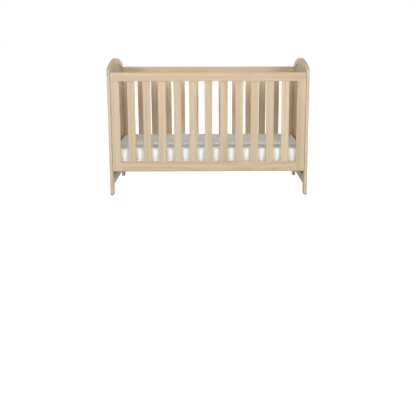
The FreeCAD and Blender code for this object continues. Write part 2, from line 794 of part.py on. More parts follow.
def bottom_rail(label, half_turn):
    """The bottom rail of a side, between its stiles."""
    body = new_body(label)
    block(body, SLATTED_LENGTH, "Sizes.side_thickness", "Sizes.bottom_rail_height")
    round_edges(
        body, "Sizes.rail_radius", lambda edge: runs_along(edge, "x") and not is_upper(edge, body)
    )
    top = number("Sizes.bottom_rail_height")
    round_edges(
        body,
        "Sizes.edge_radius",
        lambda edge: runs_along(edge, "x") and edge.CenterOfMass.z > top - 0.01,
    )
    cut_mortises(body, "Sizes.bottom_rail_height - Sizes.mortise_depth")
    for along in (-1, 1):
        for step in range(2):
            drill(
                body,
                "+X" if along < 0 else "-X",
                "Sizes.dowel_radius",
                "Sizes.dowel_reach",
                x=signed(along, f"{SLATTED_LENGTH} / 2"),
                z=f"{rail_dowel_height(step)} - Sizes.side_bottom",
            )
    place(body, y=f"-{SIDE_CENTRE}", z="Sizes.side_bottom", half_turn=half_turn)
    return keep(body)


def rail_dowel_height(step):
    """Height of one of the two dowels that join a side's bottom rail to a stile."""
    return f"(Sizes.side_bottom + Sizes.rail_dowel_rise + {step} * Sizes.rail_dowel_pitch)"


def stile(label, along, half_turn):
    """An upright at one end of a side. Along is -1 or +1 for the end it stands at."""
    body = new_body(label)
    height = f"({TOP_RAIL_BOTTOM} - Sizes.side_bottom)"
    block(body, "Sizes.stile_width", "Sizes.side_thickness", height)
    round_edges(
        body, "Sizes.rail_radius", lambda edge: runs_along(edge, "x") and not is_upper(edge, body)
    )
    cut_shadow_groove(body, along, "Sizes.stile_width / 2", height)
    inwards = "+X" if along < 0 else "-X"
    outer_face = signed(along, "Sizes.stile_width / 2")
    inner_face = signed(-along, "Sizes.stile_width / 2")
    for step in range(2):
        drill(
            body,
            OPPOSITE[inwards],
            "Sizes.dowel_radius",
            "Sizes.dowel_reach",
            x=inner_face,
            z=f"{rail_dowel_height(step)} - Sizes.side_bottom",
        )
        drill(
            body,
            "-Z",
            "Sizes.dowel_radius",
            "Sizes.dowel_reach",
            x=signed(2 * step - 1, "Sizes.stile_dowel_pitch / 2"),
            z=height,
        )
    for level in (UPPER_BOLT, LOWER_BOLT):
        own_level = f"{level} - Sizes.side_bottom"
        drill(body, inwards, BOLT_HOLE, "Sizes.bolt_reach", x=outer_face, z=own_level)
        drill(
            body,
            "-Y",
            "Sizes.nut_radius",
            "(Sizes.side_thickness + Sizes.nut_length) / 2",
            x=signed(along, "(Sizes.stile_width / 2 - Sizes.nut_distance)"),
            y="Sizes.side_thickness / 2",
            z=own_level,
        )
    for level in (UPPER_LOCATING, LOWER_LOCATING):
        drill(
            body,
            inwards,
            "Sizes.dowel_radius",
            "Sizes.locating_reach",
            x=outer_face,
            z=f"{level} - Sizes.side_bottom",
        )
    place(body, signed(along, STILE_CENTRE), f"-{SIDE_CENTRE}", "Sizes.side_bottom", half_turn)
    return keep(body)


def side_slat(label, index, half_turn):
    """One slat of a side, let into both rails."""
    body = new_body(label)
    length = f"({TOP_RAIL_BOTTOM} - {BOTTOM_RAIL_TOP} + 2 * Sizes.mortise_depth)"
    block(body, "Sizes.slat_width", "Sizes.slat_thickness", f"{length} - Sizes.slat_end_play")
    round_edges(body, "Sizes.slat_radius", lambda edge: runs_along(edge, "z"))
    place(
        body,
        f"{SLAT_PITCH} * {index - (SIDE_SLATS - 1) / 2}",
        f"{SLAT_OFFSET} - {SIDE_CENTRE}",
        f"{BOTTOM_RAIL_TOP} - Sizes.mortise_depth",
        half_turn,
    )
    return keep(body)


def build_side(name, half_turn):
    """One side. The rear side is the front one turned half round."""
    left, right = (1, -1) if half_turn else (-1, 1)
    top_rail(f"{name}_side_top_rail", half_turn)
    bottom_rail(f"{name}_side_bottom_rail", half_turn)
    stile(f"{name}_side_left_stile", left, half_turn)
    stile(f"{name}_side_right_stile", right, half_turn)
    for index in range(SIDE_SLATS):
        side_slat(f"{name}_side_slat_{index + 1:02d}", index, half_turn)


def build_side_dowels():
    """Dowels that hold each side's stiles and rails together."""
    pieces = []
    for across in (-1, 1):
        line = signed(across, SIDE_CENTRE)
        for along in (-1, 1):
            for step in range(2):
                pieces.append(
                    rod(
                        "+X",
                        "Sizes.dowel_radius",
                        "2 * Sizes.dowel_reach",
                        signed(along, f"{SLATTED_LENGTH} / 2") + " - Sizes.dowel_reach",
                        line,
                        rail_dowel_height(step),
                    )
                )
                pieces.append(
                    rod(
                        "+Z",
                        "Sizes.dowel_radius",
                        "2 * Sizes.dowel_reach",
                        f"{along} * {STILE_CENTRE} + {2 * step - 1} * Sizes.stile_dowel_pitch / 2",
                        line,
                        f"{TOP_RAIL_BOTTOM} - Sizes.dowel_reach",
                    )
                )
    group("side_frame_dowels", pieces)


def build_side_fastenings():
    """Bolts with barrel nuts that clamp the sides to the ends, and the dowels beside them."""
    bolts = []
    nuts = []
    dowels = []
    for along in (-1, 1):
        inwards = "+X" if along < 0 else "-X"
        outer_face = signed(along, f"({HALF_INTERIOR} + Sizes.end_thickness)")
        for across in (-1, 1):
            line = signed(across, SIDE_CENTRE)
            for level in (UPPER_BOLT, LOWER_BOLT):
                at = (outer_face, line, level)
                head = rod(inwards, "Sizes.bolt_head_radius", "Sizes.bolt_head_height", *at)
                shank_length = "Sizes.end_thickness + Sizes.bolt_reach"
                bolt = fused(head, rod(inwards, "Sizes.bolt_radius", shank_length, *at))
                bolts.append(
                    socketed(bolt, inwards, "Sizes.bolt_socket", "Sizes.bolt_socket_depth", *at)
                )
                nut = rod(
                    "+Y",
                    "Sizes.nut_radius",
                    "Sizes.nut_length",
                    signed(along, f"({HALF_INTERIOR} - Sizes.nut_distance)"),
                    f"{line} - Sizes.nut_length / 2",
                    level,
                )
                thread = rod(inwards, "Sizes.bolt_radius", shank_length, *at)
                nuts.append(without(nut, thread))
            for level in (UPPER_LOCATING, LOWER_LOCATING):
                dowels.append(
                    rod(
                        "+X",
                        "Sizes.dowel_radius",
                        "2 * Sizes.locating_reach",
                        signed(along, HALF_INTERIOR) + " - Sizes.locating_reach",
                        line,
                        level,
                    )
                )
    group("side_bolts", bolts)
    group("barrel_nuts", nuts)
    group("locating_dowels", dowels)


# ---------------------------------------------------------------- base

def base_end_rail(label, half_turn):
    """A short rail of the base frame. It rests on the brackets."""
    body = new_body(label)
    block(body, "Sizes.base_rail_width", BASE_DEPTH, "Sizes.base_rail_height")
    round_edges(
        body,
        "Sizes.base_slat_radius",
        lambda edge: runs_along(edge, "y") and not is_upper(edge, body),
    )
    for across in (-1, 1):
        for step in (-1, 1):
            at = (
                "-Sizes.base_rail_width / 2",
                signed(across, FRAME_SCREW_LINE),
                frame_screw_height(step),
            )
            drill(body, "+X", "Sizes.wood_screw_radius", "Sizes.base_rail_width", *at)
            countersink(body, "+X", *at)
    place(
        body,
        f"-({BASE_LENGTH} - Sizes.base_rail_width) / 2",
        z=BASE_FRAME_BOTTOM,
        half_turn=half_turn,
    )
    return keep(body)


def frame_screw_height(step):
    """Height, in a base rail, of one of the two screws of a corner."""
    return f"(Sizes.base_rail_height / 2 + {step} * Sizes.frame_screw_pitch / 2)"


def base_side_rail(label, half_turn):
    """A long rail of the base frame, between the short ones."""
    body = new_body(label)
    length = f"({BASE_LENGTH} - 2 * Sizes.base_rail_width)"
    block(body, length, "Sizes.base_rail_width", "Sizes.base_rail_height")
    round_edges(
        body,
        "Sizes.base_slat_radius",
        lambda edge: runs_along(edge, "x") and not is_upper(edge, body),
    )
    for along in (-1, 1):
        for step in (-1, 1):
            drill(
                body,
                "+X" if along < 0 else "-X",
                "Sizes.wood_screw_radius",
                "Sizes.frame_screw_length - Sizes.base_rail_width",
                x=signed(along, f"{length} / 2"),
                y="Sizes.screw_offset",
                z=frame_screw_height(step),
            )
    for index in range(BASE_SLATS):
        drill(
            body,
            "-Z",
            "Sizes.wood_screw_radius",
            "Sizes.slat_screw_length - Sizes.base_slat_thickness",
            x=base_slat_place(index),
            y="-Sizes.screw_offset",
            z="Sizes.base_rail_height",
        )
    place(body, y=f"-{BASE_SIDE_RAIL}", z=BASE_FRAME_BOTTOM, half_turn=half_turn)
    return keep(body)


def base_slat_place(index):
    """Place of one slat of the base along the cot."""
    return f"({BASE_SLAT_PITCH} * {index - (BASE_SLATS - 1) / 2})"


def base_slat(index):
    """One slat of the base, screwed down at both ends."""
    body = new_body(f"BaseSlat{index + 1}")
    block(body, "Sizes.base_slat_width", BASE_DEPTH, "Sizes.base_slat_thickness")
    round_edges(body, "Sizes.base_slat_radius", lambda edge: runs_along(edge, "y"))
    for across in (-1, 1):
        at = ("0", signed(across, SLAT_SCREW_LINE), "Sizes.base_slat_thickness")
        drill(body, "-Z", "Sizes.wood_screw_radius", "Sizes.base_slat_thickness", *at)
        countersink(body, "-Z", *at)
    place(body, base_slat_place(index), z=BASE_FRAME_TOP)
    return body


def wood_screw(direction, length, x, y, z):
    """A countersunk screw whose head is flush at the given point."""
    head = doc.addObject("Part::Cone", "Head")
    bind(
        head,
        Radius1="Sizes.wood_screw_head_radius",
        Radius2="Sizes.wood_screw_radius",
        Height="Sizes.wood_screw_head_height",
    )
    head.Placement = Placement(Vector(), TOWARDS[direction])
    place(head, x, y, z)
    screw = fused(head, rod(direction, "Sizes.wood_screw_radius", length, x, y, z))
    return socketed(
        screw, direction, "Sizes.wood_screw_socket", "Sizes.wood_screw_socket_depth", x, y, z
    )


def build_base():
    """The slatted base and its screws."""
    base_end_rail("base_left_rail", False)
    base_end_rail("base_right_rail", True)
    base_side_rail("base_front_rail", False)
    base_side_rail("base_rear_rail", True)
    group("base_slats", [base_slat(index) for index in range(BASE_SLATS)])
    slat_screws = []
    frame_screws = []
    for across in (-1, 1):
        for index in range(BASE_SLATS):
            slat_screws.append(
                wood_screw(
                    "-Z",
                    "Sizes.slat_screw_length",
                    base_slat_place(index),
                    signed(across, SLAT_SCREW_LINE),
                    "Sizes.base_height",
                )
            )
        for along in (-1, 1):
            for step in (-1, 1):
                frame_screws.append(
                    wood_screw(
                        "+X" if along < 0 else "-X",
                        "Sizes.frame_screw_length",
                        signed(along, f"{BASE_LENGTH} / 2"),
                        signed(across, FRAME_SCREW_LINE),
                        f"{BASE_FRAME_BOTTOM} + {frame_screw_height(step)}",
                    )
                )
    group("base_slat_screws", slat_screws)
    group("base_frame_screws", frame_screws)


def base_bracket(name, across, half_turn):
    """An angle bracket on a leg's inner face, with its seat under the corner of the base."""
    body = new_body(name)
    block(
        body,
        "Sizes.bracket_thickness",
        "Sizes.bracket_width",
        "Sizes.bracket_drop + Sizes.bracket_thickness",
        x="Sizes.bracket_thickness / 2",
        z="-Sizes.bracket_drop - Sizes.bracket_thickness",
    )
    block(
        body,
        "Sizes.bracket_seat",
        "Sizes.bracket_width",
        "Sizes.bracket_thickness",
        x="Sizes.bracket_seat / 2",
        z="-Sizes.bracket_thickness",
    )
    drop_end = number("-Sizes.bracket_drop - Sizes.bracket_thickness")
    seat_end = number("Sizes.bracket_seat")

    def is_corner(edge):
        centre = edge.CenterOfMass
        low = runs_along(edge, "x") and abs(centre.z - drop_end) < 0.01
        far = runs_along(edge, "z") and abs(centre.x - seat_end) < 0.01
        return low or far

    round_edges(body, "Sizes.bracket_corner", is_corner)
    for step in (-1, 1):
        drill(
            body,
            "+X",
            BOLT_HOLE,
            "Sizes.bracket_thickness",
            y=f"{step} * Sizes.bracket_hole_pitch / 2",
            z="-Sizes.bracket_thickness - Sizes.bracket_drop / 2",
        )
    place(body, f"-{HALF_INTERIOR}", signed(across, BRACKET_CENTRE), BASE_FRAME_BOTTOM, half_turn)
    return body


def build_base_supports():
    """Brackets at the lowest setting, their screws, and threaded inserts for every setting."""
    brackets = []
    screws = []
    inserts = []
    for along in (-1, 1):
        outwards = "-X" if along < 0 else "+X"
        leg_face = signed(along, HALF_INTERIOR)
        head_face = signed(along, f"({HALF_INTERIOR} - Sizes.bracket_thickness)")
        head_top = signed(
            along, f"({HALF_INTERIOR} - Sizes.bracket_thickness - Sizes.bracket_head_height)"
        )
        for across in (-1, 1):
            half_turn = along > 0
            own_side = -across if half_turn else across
            brackets.append(
                base_bracket(f"Bracket{len(brackets) + 1}", own_side, half_turn)
            )
            for step in (-1, 1):
                line = f"{across} * {BRACKET_CENTRE} + {step} * Sizes.bracket_hole_pitch / 2"
                head = rod(
                    outwards,
                    "Sizes.bracket_head_radius",
                    "Sizes.bracket_head_height",
                    head_top,
                    line,
                    BRACKET_SCREW,
                )
                shank = rod(
                    outwards,
                    "Sizes.bolt_radius",
                    "Sizes.bracket_thickness + Sizes.insert_length",
                    head_face,
                    line,
                    BRACKET_SCREW,
                )
                screws.append(
                    socketed(
                        fused(head, shank),
                        outwards,
                        "Sizes.bolt_socket",
                        "Sizes.bolt_socket_depth",
                        head_top,
                        line,
                        BRACKET_SCREW,
                    )
                )
                for level in insert_heights():
                    at = (leg_face, line, level)
                    body = rod(outwards, "Sizes.insert_radius", "Sizes.insert_length", *at)
                    thread = rod(outwards, "Sizes.bolt_radius", "Sizes.insert_length", *at)
                    inserts.append(without(body, thread))
    group("base_brackets", brackets)
    group("bracket_screws", screws)
    group("threaded_inserts", inserts)


# ---------------------------------------------------------------- mattress

def rounded_pad(label, inset):
    """A block with the mattress's outline, smaller by the inset on every face."""
    body = new_body(label)
    block(
        body,
        f"Sizes.mattress_length - 2 * {inset}",
        f"Sizes.mattress_width - 2 * {inset}",
        f"Sizes.mattress_thickness - 2 * {inset}",
    )
    round_edges(
        body, f"Sizes.mattress_corner - {inset}", lambda edge: runs_along(edge, "z")
    )
    round_edges(
        body, f"Sizes.mattress_edge - {inset}", lambda edge: edge.BoundBox.ZLength < 0.01
    )
    place(body, z=f"Sizes.base_height + Sizes.soft_play + {inset}")
    return body


def build_mattress():
    """A foam core in a zipped cover."""
    outside = rounded_pad("CoverOutside", "0")
    hollow = rounded_pad("CoverHollow", "Sizes.cover_thickness")
    cover = without(outside, hollow)
    cover.Label = "mattress_cover"
    keep(cover)
    keep(rounded_pad("mattress_core", "(Sizes.cover_thickness + Sizes.soft_play)"))


# ---------------------------------------------------------------- assembly, test and export

def build():
    build_end("left", False)
    build_end("right", True)
    build_end_dowels()
    build_glides()
    build_side("front", False)
    build_side("rear", True)
    build_side_dowels()
    build_side_fastenings()
    build_base()
    build_base_supports()
    build_mattress()
    doc.recompute()


def check():
    """Stops at any object that failed and any sub-part that is not a sound solid."""
    for item in doc.Objects:
        if "Invalid" in item.State or "Error" in item.State:
            raise RuntimeError(f"{item.Label}: {item.State}")
    for item in nodes:
        shape = item.Shape
        if shape.isNull() or not shape.isValid() or not shape.Solids:
            raise RuntimeError(f"{item.Label}: no valid solid")


def export():
    os.makedirs("parts", exist_ok=True)
    for item in nodes:
        item.Shape.exportStep(f"parts/{item.Label}.step")


build()
check()
export()
print(len(nodes), "sub-parts written")
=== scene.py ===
"""The look of the cot: pale oak-effect wood, zinc-plated fittings and a white piped mattress."""
import json
import math

import bmesh
import bpy
import numpy as np
from mathutils import Matrix, Vector


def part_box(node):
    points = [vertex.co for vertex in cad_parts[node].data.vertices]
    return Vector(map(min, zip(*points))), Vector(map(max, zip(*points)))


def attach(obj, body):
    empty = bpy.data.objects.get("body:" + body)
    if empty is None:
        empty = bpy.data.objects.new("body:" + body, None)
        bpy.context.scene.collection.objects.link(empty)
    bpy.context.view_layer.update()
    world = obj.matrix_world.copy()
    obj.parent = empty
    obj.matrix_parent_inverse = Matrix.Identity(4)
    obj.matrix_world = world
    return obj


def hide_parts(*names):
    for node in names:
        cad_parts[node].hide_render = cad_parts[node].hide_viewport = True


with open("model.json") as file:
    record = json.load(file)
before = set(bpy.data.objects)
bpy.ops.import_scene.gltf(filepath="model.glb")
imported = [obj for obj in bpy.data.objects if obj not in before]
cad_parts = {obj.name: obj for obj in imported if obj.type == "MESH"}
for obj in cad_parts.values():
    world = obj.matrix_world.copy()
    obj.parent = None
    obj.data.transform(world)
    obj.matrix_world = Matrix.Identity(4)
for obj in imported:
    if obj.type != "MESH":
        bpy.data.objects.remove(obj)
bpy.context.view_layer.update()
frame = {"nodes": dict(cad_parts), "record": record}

nodes = frame["nodes"]
slots = {part["node"]: part["material_slot"] for part in frame["record"]["subparts"]}
MM = 0.001
WHITE = (1, 1, 1, 1)


# ---------------------------------------------------------------- material helpers

class NodeTree:
    """A node tree that is built step by step."""

    def __init__(self, tree):
        self.tree = tree

    def set(self, node, key, value):
        """Sets an input, found by its name or number, or links a socket to it."""
        socket = node.inputs[key]
        if isinstance(value, bpy.types.NodeSocket):
            self.tree.links.new(value, socket)
        else:
            socket.default_value = value

    def add(self, kind, settings=None, **inputs):
        """Adds a node, sets its properties, and sets or links its inputs."""
        node = self.tree.nodes.new(f"ShaderNode{kind}")
        for key, value in (settings or {}).items():
            setattr(node, key, value)
        for key, value in inputs.items():
            self.set(node, key.replace("_", " "), value)
        return node

    def math(self, operation, first, second=0.0):
        node = self.add("Math", {"operation": operation})
        self.set(node, 0, first)
        self.set(node, 1, second)
        return node.outputs[0]

    def seen(self):
        """1 for what the camera sees, also in a mirror or through glass, and 0 for other rays."""
        rays = self.add("LightPath").outputs
        indirectly = self.math("MAXIMUM", rays["Is Glossy Ray"], rays["Is Transmission Ray"])
        return self.math("MAXIMUM", rays["Is Camera Ray"], indirectly)

    def show(self, output, plain, when_seen):
        """Joins the plain shader to the output, with another in its place where it is seen."""
        pick = self.add("MixShader")
        self.set(pick, 0, self.seen())
        self.set(pick, 1, plain.outputs[0])
        self.set(pick, 2, when_seen.outputs[0])
        self.set(self.tree.nodes[output], "Surface", pick.outputs[0])


class Shader(NodeTree):
    """A material whose textures lie in the object's own coordinates."""

    def __init__(self, name):
        self.material = bpy.data.materials.new(name)
        self.material.use_nodes = True
        super().__init__(self.material.node_tree)
        self.surface = self.tree.nodes["Principled BSDF"]
        self.place = self.add("TexCoord").outputs["Object"]

    def vector(self, operation, first, second):
        node = self.add("VectorMath", {"operation": operation})
        self.set(node, 0, first)
        self.set(node, 1, second)
        return node.outputs[0]

    def stretched(self, scale):
        """The shader's coordinates, scaled along each axis."""
        return self.vector("MULTIPLY", self.place, scale)

    def across_grain(self, value):
        """The same value on the two axes across the grain."""
        return self.add("CombineXYZ", Y=value, Z=value).outputs[0]

    def noise(self, scale, detail=2.0, roughness=0.5):
        """Noise with about as many features in a metre as the scale says for each axis."""
        place = self.stretched(scale)
        node = self.add("TexNoise", Vector=place, Scale=1.0, Detail=detail, Roughness=roughness)
        return node.outputs["Fac"]

    def range(self, value, low, high, new_low=0.0, new_high=1.0):
        """Brings what lies from low to high to the new range, and holds the rest at its ends."""
        bounds = {"From_Min": low, "From_Max": high, "To_Min": new_low, "To_Max": new_high}
        return self.add("MapRange", Value=value, **bounds).outputs[0]

    def mix(self, factor, first, second):
        """The first colour where the factor is 0, and the second where it is 1."""
        node = self.add("Mix", {"data_type": "RGBA"})
        self.set(node, 0, factor)
        self.set(node, 6, first)
        self.set(node, 7, second)
        return node.outputs[2]

    def bump(self, height, strength, depth):
        node = self.add("Bump", Strength=strength, Distance=depth, Height=height)
        self.set(self.surface, "Normal", node.outputs[0])

    def finish(self, **inputs):
        """Sets or links the inputs of the surface shader, and returns the material."""
        for key, value in inputs.items():
            self.set(self.surface, key.replace("_", " "), value)
        return self.material


def srgb(red, green, blue):
    """A linear colour from its 8-bit display values."""
    def linear(value):
        value /= 255
        return value / 12.92 if value <= 0.04045 else ((value + 0.055) / 1.055) ** 2.4

    return (linear(red), linear(green), linear(blue), 1.0)


def darker(colour, level):
    """A colour at a part of its brightness."""
    return tuple(channel * level for channel in colour[:3]) + (1,)


def dress(name, material):
    """Gives a CAD node its material."""
    mesh = nodes[name].data
    mesh.materials.clear()
    mesh.materials.append(material)


# ---------------------------------------------------------------- wood

OAK_FRAME = {"kind": "oak", "pale": srgb(224, 204, 175), "dark": srgb(196, 171, 139)}
OAK_SLAT = {"kind": "oak", "pale": srgb(225, 206, 177), "dark": srgb(197, 173, 141)}
BEECH = {"kind": "beech", "pale": srgb(214, 176, 128), "dark": srgb(190, 148, 100)}
PINE = {
    "kind": "pine",
    "pale": srgb(232, 203, 156),
    "dark": srgb(206, 166, 112),
    "ring_spacing": 8 * MM,
    "roughness": 0.6,
}

# The timber of each wooden material slot.
TIMBERS = {
    "oak_frame": OAK_FRAME,
    "oak_panel": OAK_FRAME,
    "oak_slat": OAK_SLAT,
    "base_timber": PINE,
    "dowel_wood": BEECH,
}

# The turn that brings each grain direction onto X, where the wood's textures are stretched.
GRAIN_TURN = {
    "X": (0.0, 0.0, 0.0),
    "Y": (0.0, 0.0, -math.pi / 2),
    "Z": (0.0, math.pi / 2, 0.0),
}

# In metres: how far from a log's middle a piece may be cut, the least and most that it lies from
# the log's heart, and how far the heart wavers.
LOG_REACH = 9
FROM_HEART = (0.12, 0.3)
WAVER = 0.03

# A wave texture of scale 1 runs through so many radians in a metre.
WAVE_RATE = 20

# How much of each layer goes into the tone, where the streaks count whole, the tones at which the
# wood is darkest and palest, and how far those may lie apart from one piece to the next.
RING_TONE = 0.16
FIBRE_TONE = 0.35
CLOUD_TONE = 0.3
DARK_TONE, PALE_TONE = 0.65, 1.16
PIECE_TONE = 0.05

# How near another piece has to be for painted shade to darken the wood.
PAINTED_SHADE_REACH = 20 * MM


def place_in_log(draw):
    """Where a piece is cut from its log: along it, and across it to either side of its heart."""
    def across():
        return float(draw.uniform(*FROM_HEART) * draw.choice((-1, 1)))

    return (float(draw.uniform(-LOG_REACH, LOG_REACH)), across(), across())


def wood(name, grain, seed, pale, dark, ring_spacing=5 * MM, roughness=0.58):
    """Planed, lacquered wood with its grain along an axis, and painted shade in its seams."""
    draw = np.random.default_rng(seed)
    shade = Shader(name)
    turned = shade.add("Mapping", Vector=shade.place, Rotation=GRAIN_TURN[grain])
    shade.set(turned, "Location", place_in_log(draw))
    shade.place = turned.outputs[0]

    # The log wavers, so that its rings run out of a face in long curves.
    to_a_side = shade.math("SUBTRACT", shade.noise((1.1, 4, 4)), 0.5)
    waver = shade.across_grain(shade.math("MULTIPLY", to_a_side, WAVER))
    rings = shade.add(
        "TexWave",
        {"wave_type": "RINGS", "rings_direction": "X", "wave_profile": "SIN"},
        Vector=shade.vector("ADD", shade.stretched((0.03, 1, 1)), waver),
        Scale=math.tau / (WAVE_RATE * ring_spacing),
        Distortion=0.8,
        Detail=2.0,
    ).outputs["Fac"]
    streaks = shade.noise((0.4, 48, 48), detail=5.0, roughness=0.7)
    fibres = shade.noise((6, 520, 520), detail=3.0, roughness=0.65)
    pores = shade.range(shade.noise((34, 1500, 1500)), 0.58, 0.72)
    clouds = shade.noise((1.4, 3, 3))

    tone = shade.math("ADD", shade.math("MULTIPLY", rings, RING_TONE), streaks)
    tone = shade.math("ADD", tone, shade.math("MULTIPLY", fibres, FIBRE_TONE))
    tone = shade.math("ADD", tone, shade.math("MULTIPLY", clouds, CLOUD_TONE))
    piece_tone = float(draw.uniform(-PIECE_TONE, PIECE_TONE))
    tone = shade.range(tone, DARK_TONE + piece_tone, PALE_TONE + piece_tone)
    pore_and_shade_colour = darker(dark, 0.6)
    colour = shade.mix(tone, dark, pale)
    colour = shade.mix(shade.math("MULTIPLY", pores, 0.35), colour, pore_and_shade_colour)

    # Painted shade: the colour is darker in the seams and inner corners, where other pieces lie near,
    # and takes the pores' colour there.
    open_air = shade.add("AmbientOcclusion", {"samples": 8}, Distance=PAINTED_SHADE_REACH).outputs["AO"]
    painted_seam_shade = shade.range(open_air, 0.3, 0.9, 0.8, 0.0)
    colour = shade.mix(painted_seam_shade, colour, pore_and_shade_colour)

    relief = shade.math("SUBTRACT", shade.math("MULTIPLY", fibres, 0.5), pores)
    shade.bump(relief, 0.3, 0.4 * MM)
    sheen = shade.range(fibres, 0.2, 0.8, roughness + 0.07, roughness - 0.05)
    return shade.finish(Base_Color=colour, Roughness=sheen, Specular_IOR_Level=0.4)


def grain_of(name):
    """The direction of a node's grain: its length, but for panels and nodes of many pieces."""
    if slots[name] in ("oak_panel", "dowel_wood"):
        return "Z"
    if name == "base_slats":
        return "Y"
    low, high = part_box(name)
    size = high - low
    return "XYZ"[max(range(3), key=lambda axis: size[axis])]


def dress_wood():
    """Gives each wooden node the timber of its slot, cut from a place of its own."""
    for seed, name in enumerate(sorted(nodes)):
        if slots[name] in TIMBERS:
            timber = dict(TIMBERS[slots[name]])
            kind = timber.pop("kind")
            dress(name, wood(f"{kind}_{name}", grain_of(name), seed, **timber))


# ---------------------------------------------------------------- metal, plastic and cloth

def zinc(name, colour, roughness):
    """Zinc plating: bright, a little cloudy and finely scratched."""
    shade = Shader(name)
    cloud = shade.noise((90, 90, 90), detail=3.0)
    scratch = shade.noise((900, 60, 900))
    tint = shade.mix(cloud, colour, darker(colour, 0.78))
    shade.bump(scratch, 0.15, 0.2 * MM)
    dulled = shade.range(cloud, 0.2, 0.8, roughness, roughness + 0.16)
    return shade.finish(Base_Color=tint, Metallic=1.0, Roughness=dulled)


def nylon():
    """Moulded off-white nylon, scuffed where it stands on the floor."""
    shade = Shader("nylon")
    scuff = shade.noise((400, 400, 400), detail=4.0)
    tint = shade.mix(shade.range(scuff, 0.5, 0.8), srgb(226, 222, 212), srgb(196, 190, 178))
    shade.bump(scuff, 0.2, 0.2 * MM)
    return shade.finish(Base_Color=tint, Roughness=0.5)


def dress_fittings():
    """Gives the fasteners, brackets and glides their finishes."""
    finishes = {
        "zinc_steel": zinc("zinc_plating", srgb(176, 178, 182), 0.32),
        "bracket_steel": zinc("dull_zinc", srgb(188, 190, 193), 0.38),
        "glide_plastic": nylon(),
    }
    for name in nodes:
        if slots[name] in finishes:
            dress(name, finishes[slots[name]])


def cotton(name, colour, thread):
    """Cotton in a plain weave that repeats at the thread's width, with painted shade between the
    threads, slubs and slight unevenness.
    """
    shade = Shader(name)
    turns = shade.stretched((math.tau / thread,) * 3)
    parts = shade.add("SeparateXYZ", Vector=turns).outputs
    waves = [shade.math("SINE", parts[axis]) for axis in "XYZ"]
    weave = shade.math("MULTIPLY", waves[0], waves[1])
    weave = shade.math("ADD", weave, shade.math("MULTIPLY", waves[1], waves[2]))
    weave = shade.math("ADD", weave, shade.math("MULTIPLY", waves[2], waves[0]))
    slub = shade.noise((60, 700, 60), detail=3.0)
    cloud = shade.noise((9, 9, 9), detail=3.0)
    tint = shade.mix(shade.range(cloud, 0.3, 0.7, 0.0, 0.5), colour, darker(colour, 0.93))
    # Painted shade: the colour is darker in the hollows between the threads.
    painted_thread_shade = shade.range(weave, -1.5, 0.2, 0.35, 0.0)
    tint = shade.mix(painted_thread_shade, tint, darker(colour, 0.8))
    height = shade.math("ADD", shade.math("MULTIPLY", weave, 0.3), slub)
    shade.bump(height, 0.35, 0.3 * MM)
    return shade.finish(Base_Color=tint, Roughness=0.9, Sheen_Weight=0.25, Sheen_Roughness=0.5)


# ---------------------------------------------------------------- mesh helpers

def mesh_object(name, mesh_source):
    """An object in the scene from a bmesh, which is freed, with smooth faces."""
    mesh = bpy.data.meshes.new(name)
    mesh_source.to_mesh(mesh)
    mesh_source.free()
    smooth(mesh)
    piece = bpy.data.objects.new(name, mesh)
    bpy.context.scene.collection.objects.link(piece)
    return piece


def smooth(mesh):
    for face in mesh.polygons:
        face.use_smooth = True


def apply_modifiers(piece):
    """Replaces a piece's mesh with what its modifiers make of it."""
    bpy.context.view_layer.update()
    evaluated = piece.evaluated_get(bpy.context.evaluated_depsgraph_get())
    mesh = bpy.data.meshes.new_from_object(evaluated)
    piece.modifiers.clear()
    old = piece.data
    piece.data = mesh
    bpy.data.meshes.remove(old)


def points_of(piece):
    """A piece's vertices as an array with a row for each."""
    co = np.zeros(len(piece.data.vertices) * 3)
    piece.data.vertices.foreach_get("co", co)
    return co.reshape(-1, 3)


class RoundedRectangle:
    """A rectangle about the origin with rounded corners."""

    def __init__(self, half_x, half_y, corner):
        self.half = np.array((half_x, half_y))
        self.corner = corner
        # Where the corners' arcs begin, which is half the length of the straight stretches.
        self.straight = self.half - corner

    def grown(self, by):
        return RoundedRectangle(self.half[0] + by, self.half[1] + by, self.corner + by)

    def pull_in(self, point):
        """The point, or the nearest one on the outline if it lies outside."""
        signs = np.where(point < 0, -1.0, 1.0)
        reach = np.abs(point)
        over = reach - self.straight
        if (over > 0).all():
            length = float(np.hypot(*over))
            if length > self.corner:
                reach = self.straight + over * self.corner / length
        return signs * np.minimum(reach, self.half)

    def push_out(self, point):
        """Moves a point near the outline onto it."""
        signs = np.where(point < 0, -1.0, 1.0)
        reach = np.abs(point)
        over = reach - self.straight
        if (over > 0).all():
            reach = self.straight + over * self.corner / float(np.hypot(*over))
        elif over[0] > over[1] and over[0] > 0:
            reach = np.array((self.half[0], reach[1]))
        else:
            reach = np.array((reach[0], self.half[1]))
        return signs * reach

    def ring(self, pitch):
        """Points round the outline, counter-clockwise, about a pitch apart."""
        points = []
        corners = ((1, 1), (-1, 1), (-1, -1), (1, -1))
        ways = ((-1, 0), (0, -1), (1, 0), (0, 1))
        arc_steps = max(4, round(self.corner * math.pi / 2 / pitch))
        for turn, (corner, ahead) in enumerate(zip(corners, ways)):
            centre = np.array(corner) * self.straight
            for step in range(arc_steps + 1):
                angle = math.pi / 2 * (turn + step / arc_steps)
                points.append(centre + self.corner * np.array((math.cos(angle), math.sin(angle))))
            run = 2 * self.straight[turn % 2]
            count = max(1, round(run / pitch))
            start = points[-1]
            for step in range(1, count):
                points.append(start + np.array(ahead) * run * step / count)
        return points


